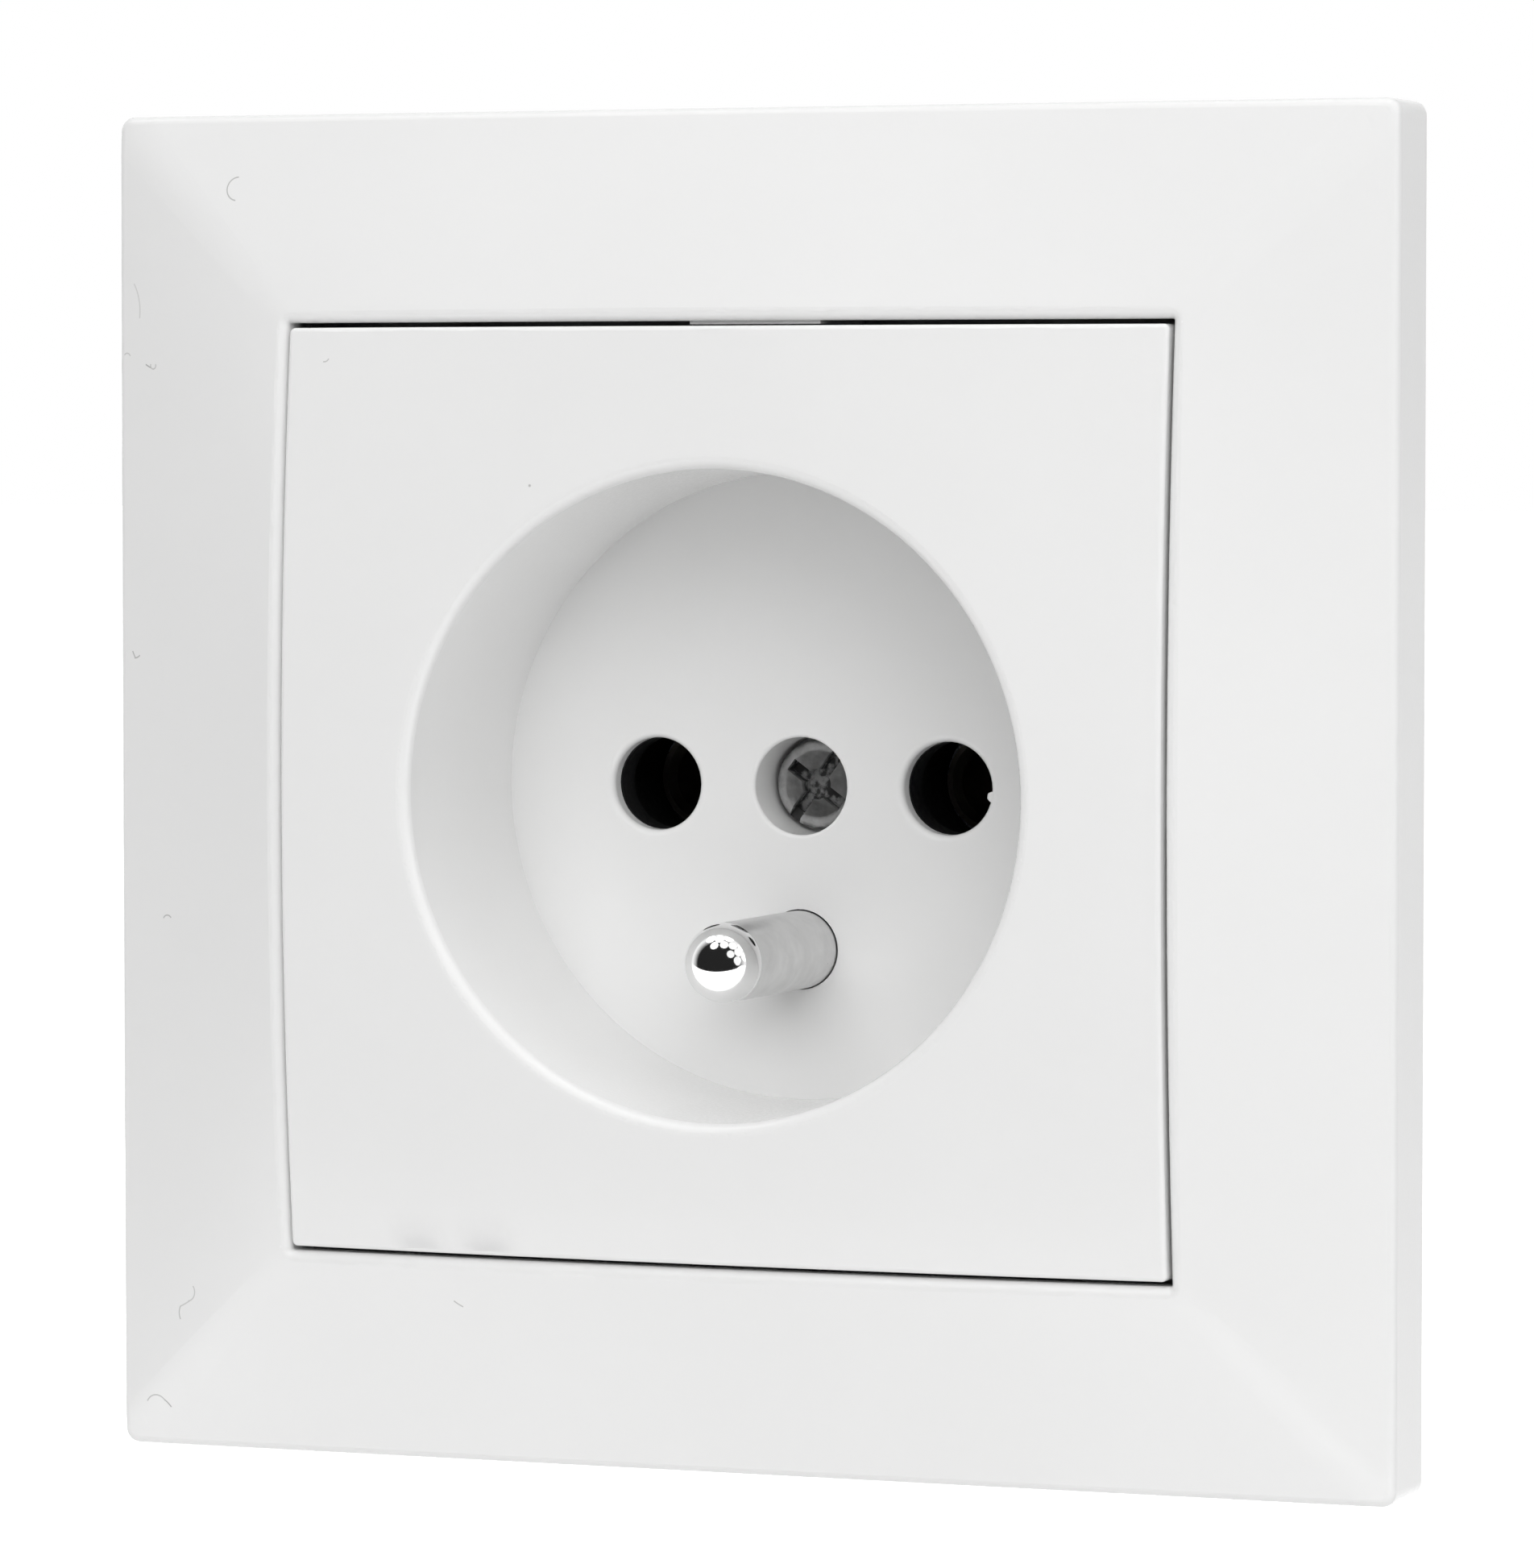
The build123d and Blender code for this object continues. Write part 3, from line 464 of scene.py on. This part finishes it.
def make_hole_flash():
    shape = bmesh.new()
    bmesh.ops.create_grid(shape, x_segments=2, y_segments=3, size=0.5)
    grown = bmesh.ops.extrude_face_region(shape, geom=shape.faces[:])["geom"]
    raised = [item for item in grown if isinstance(item, bmesh.types.BMVert)]
    bmesh.ops.translate(shape, verts=raised, vec=(0.0, 0.0, 1.0))
    free_end = [vert for vert in shape.verts if vert.co.x < -0.4]
    bmesh.ops.scale(shape, verts=free_end, vec=FLASH_TAPER)
    bmesh.ops.recalc_face_normals(shape, faces=shape.faces[:])
    rims = [edge for edge in shape.edges if edge.calc_face_angle(0.0) > EDGE_ANGLE]
    bmesh.ops.bevel(
        shape, geom=rims, offset=0.12, offset_type="OFFSET",
        affect="EDGES", segments=3, profile=0.5, material=-1,
    )
    whole = shape.verts[:]
    upright = Matrix.Rotation(radians(90.0), 3, "X")
    on_the_edge = (HOLE_RADIUS - FLASH_BITE, HOLE_MOUTH + FLASH_SET_BACK, 0.0)
    round_the_hole = Matrix.Rotation(radians(FLASH_TURN), 3, "Y")
    bmesh.ops.scale(shape, verts=whole, vec=FLASH_SIZE)
    bmesh.ops.rotate(shape, verts=whole, cent=(0, 0, 0), matrix=upright)
    bmesh.ops.translate(shape, verts=whole, vec=on_the_edge)
    bmesh.ops.rotate(shape, verts=whole, cent=(0, 0, 0), matrix=round_the_hole)
    bmesh.ops.translate(shape, verts=whole, vec=(HOLE_CENTRE[0], 0.0, HOLE_CENTRE[1]))
    bmesh.ops.scale(shape, verts=whole, vec=(MM, MM, MM))
    for face in shape.faces:
        face.smooth = True
    mesh = bpy.data.meshes.new("hole_flash")
    shape.to_mesh(mesh)
    shape.free()
    piece = bpy.data.objects.new("hole_flash", mesh)
    bpy.context.collection.objects.link(piece)
    mesh.materials.append(finishes["white_plastic"])
    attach(piece, "root")


make_hole_flash()


# Floor: pale to the light, near white to the camera, so that the object's shadow still shows on it
FLOOR_LEVEL = -0.12
FLOOR_HALF = 6.0
FLOOR_FRONT = -0.28
FLOOR_TONE = (0.86, 0.86, 0.86, 1.0)
FLOOR_ROUGHNESS = 0.9
FLOOR_LIFT = 0.45
FLOOR_GLOW = 0.19
SHADOW_REACH = (0.14, 0.28)
PLAIN_WHITE = (1.0, 1.0, 1.0, 1.0)


def white_to_the_eye(tree):
    """1 for camera rays, reflections and rays through glass, 0 for light that falls on the object."""
    path = lay(tree, "ShaderNodeLightPath").outputs
    seen = sums(tree, "MAXIMUM", path["Is Camera Ray"], path["Is Glossy Ray"])
    return sums(tree, "MAXIMUM", seen, path["Is Transmission Ray"])


def floor_finish():
    material, tree, shader, place = start_finish("floor")
    shader.inputs["Base Color"].default_value = FLOOR_TONE
    shader.inputs["Roughness"].default_value = FLOOR_ROUGHNESS
    shader.inputs["Emission Color"].default_value = PLAIN_WHITE
    from_object = vectors(tree, "LENGTH", place)["Value"]
    lift = spread(tree, from_object, *SHADOW_REACH, FLOOR_LIFT - FLOOR_GLOW, 1.0 - FLOOR_GLOW)
    glow = sums(tree, "MULTIPLY_ADD", white_to_the_eye(tree), lift, FLOOR_GLOW)
    feed(tree, shader.inputs["Emission Strength"], glow)
    return material


def make_floor():
    shape = bmesh.new()
    place = Matrix.Translation((0.0, FLOOR_HALF + FLOOR_FRONT, FLOOR_LEVEL))
    bmesh.ops.create_grid(shape, x_segments=1, y_segments=1, size=FLOOR_HALF, matrix=place)
    mesh = bpy.data.meshes.new("floor")
    shape.to_mesh(mesh)
    shape.free()
    mesh.materials.append(floor_finish())
    floor = bpy.data.objects.new("floor", mesh)
    bpy.context.collection.objects.link(floor)


make_floor()


# World: even light, white to the camera, and for reflections a white room with a dark front side
EVEN_LIGHT = 0.1
ROOM_LIGHT = 1.0
DARK_SPAN = (0.15, 0.45)
DARK_SHARE = 0.98
AHEAD_OF_THE_WALL = (0.0, -1.0, 0.0)


def make_room():
    world = bpy.data.worlds.new("studio")
    world.use_nodes = True
    sky = world.node_tree
    sky.nodes.clear()
    outward = sky.nodes.new("ShaderNodeTexCoord").outputs["Generated"]
    ahead = vectors(sky, "DOT_PRODUCT", outward, AHEAD_OF_THE_WALL)["Value"]
    room = spread(sky, ahead, *DARK_SPAN, ROOM_LIGHT, ROOM_LIGHT * (1.0 - DARK_SHARE))
    path = lay(sky, "ShaderNodeLightPath").outputs
    mirrored = sums(sky, "MAXIMUM", path["Is Glossy Ray"], path["Is Transmission Ray"])
    level = spread(sky, mirrored, 0.0, 1.0, EVEN_LIGHT, room)
    backdrop = lay(sky, "ShaderNodeBackground", color=PLAIN_WHITE)
    feed(sky, backdrop.inputs["Strength"], sums(sky, "MAXIMUM", level, path["Is Camera Ray"]))
    feed(sky, sky.nodes.new("ShaderNodeOutputWorld").inputs["Surface"], backdrop.outputs[0])
    bpy.context.scene.world = world


make_room()


# Lamps at a distance round the object: name, direction, width and power
LAMP_DISTANCE = 0.9
SOFT_LAMPS = [
    ("front_lamp", (0.05, -0.88, 0.47), 0.8, 3.02),
    ("front_right_lamp", (0.5, -0.75, 0.43), 0.5, 1.2),
    ("left_lamp", (-0.7, -0.6, 0.38), 0.6, 0.22),
    ("rear_lamp", (-0.45, 0.75, 0.48), 0.6, 2.0),
]
# Lamp heads with a bulb in the middle and a ring of bulbs round it: the same, for each head's bulbs
LAMP_HEADS = [
    ("overhead_head", (-0.1, -0.29, 0.95), 0.34, 2.85),
    ("right_head", (0.79, -0.36, 0.5), 0.34, 1.85),
]
RING_BULBS = 5
RING_ANGLE = 22.0


def hang_lamp(name, direction, width, power, mirrored_too):
    lamp = bpy.data.lights.new(name, "AREA")
    lamp.shape = "DISK"
    lamp.size = width
    lamp.energy = power
    holder = bpy.data.objects.new(name, lamp)
    bpy.context.collection.objects.link(holder)
    aim = Vector(direction).normalized()
    holder.location = LAMP_DISTANCE * aim
    holder.rotation_euler = aim.to_track_quat("Z", "Y").to_euler()
    holder.visible_glossy = mirrored_too


def hang_lamp_head(name, direction, width, power):
    middle = Vector(direction).normalized()
    share = power / (RING_BULBS + 1)
    hang_lamp(name, middle, width, share, True)
    tilted = Matrix.Rotation(radians(RING_ANGLE), 3, middle.orthogonal()) @ middle
    for bulb in range(RING_BULBS):
        turned = Matrix.Rotation(radians(360.0 * bulb / RING_BULBS), 3, middle) @ tilted
        hang_lamp(f"{name}_{bulb}", turned, width, share, True)


for lamp_values in SOFT_LAMPS:
    hang_lamp(*lamp_values, False)
for head_values in LAMP_HEADS:
    hang_lamp_head(*head_values)


# Camera, at the place that the photograph was taken from
CAMERA_PLACE = (0.168783, -0.436011, 0.022112)
CAMERA_LENS = 177.382
CAMERA_DOWN = 2.666
CAMERA_TURN = 21.202


def place_camera():
    camera = bpy.data.cameras.new("camera")
    camera.sensor_fit = "VERTICAL"
    camera.sensor_height = 36.0
    camera.lens = CAMERA_LENS
    camera.clip_start = 0.01
    camera.clip_end = 50.0
    viewpoint = bpy.data.objects.new("camera", camera)
    bpy.context.collection.objects.link(viewpoint)
    viewpoint.location = CAMERA_PLACE
    viewpoint.rotation_euler = (radians(90.0 - CAMERA_DOWN), 0.0, radians(CAMERA_TURN))
    bpy.context.scene.camera = viewpoint


place_camera()
bpy.context.scene.view_settings.view_transform = "Standard"
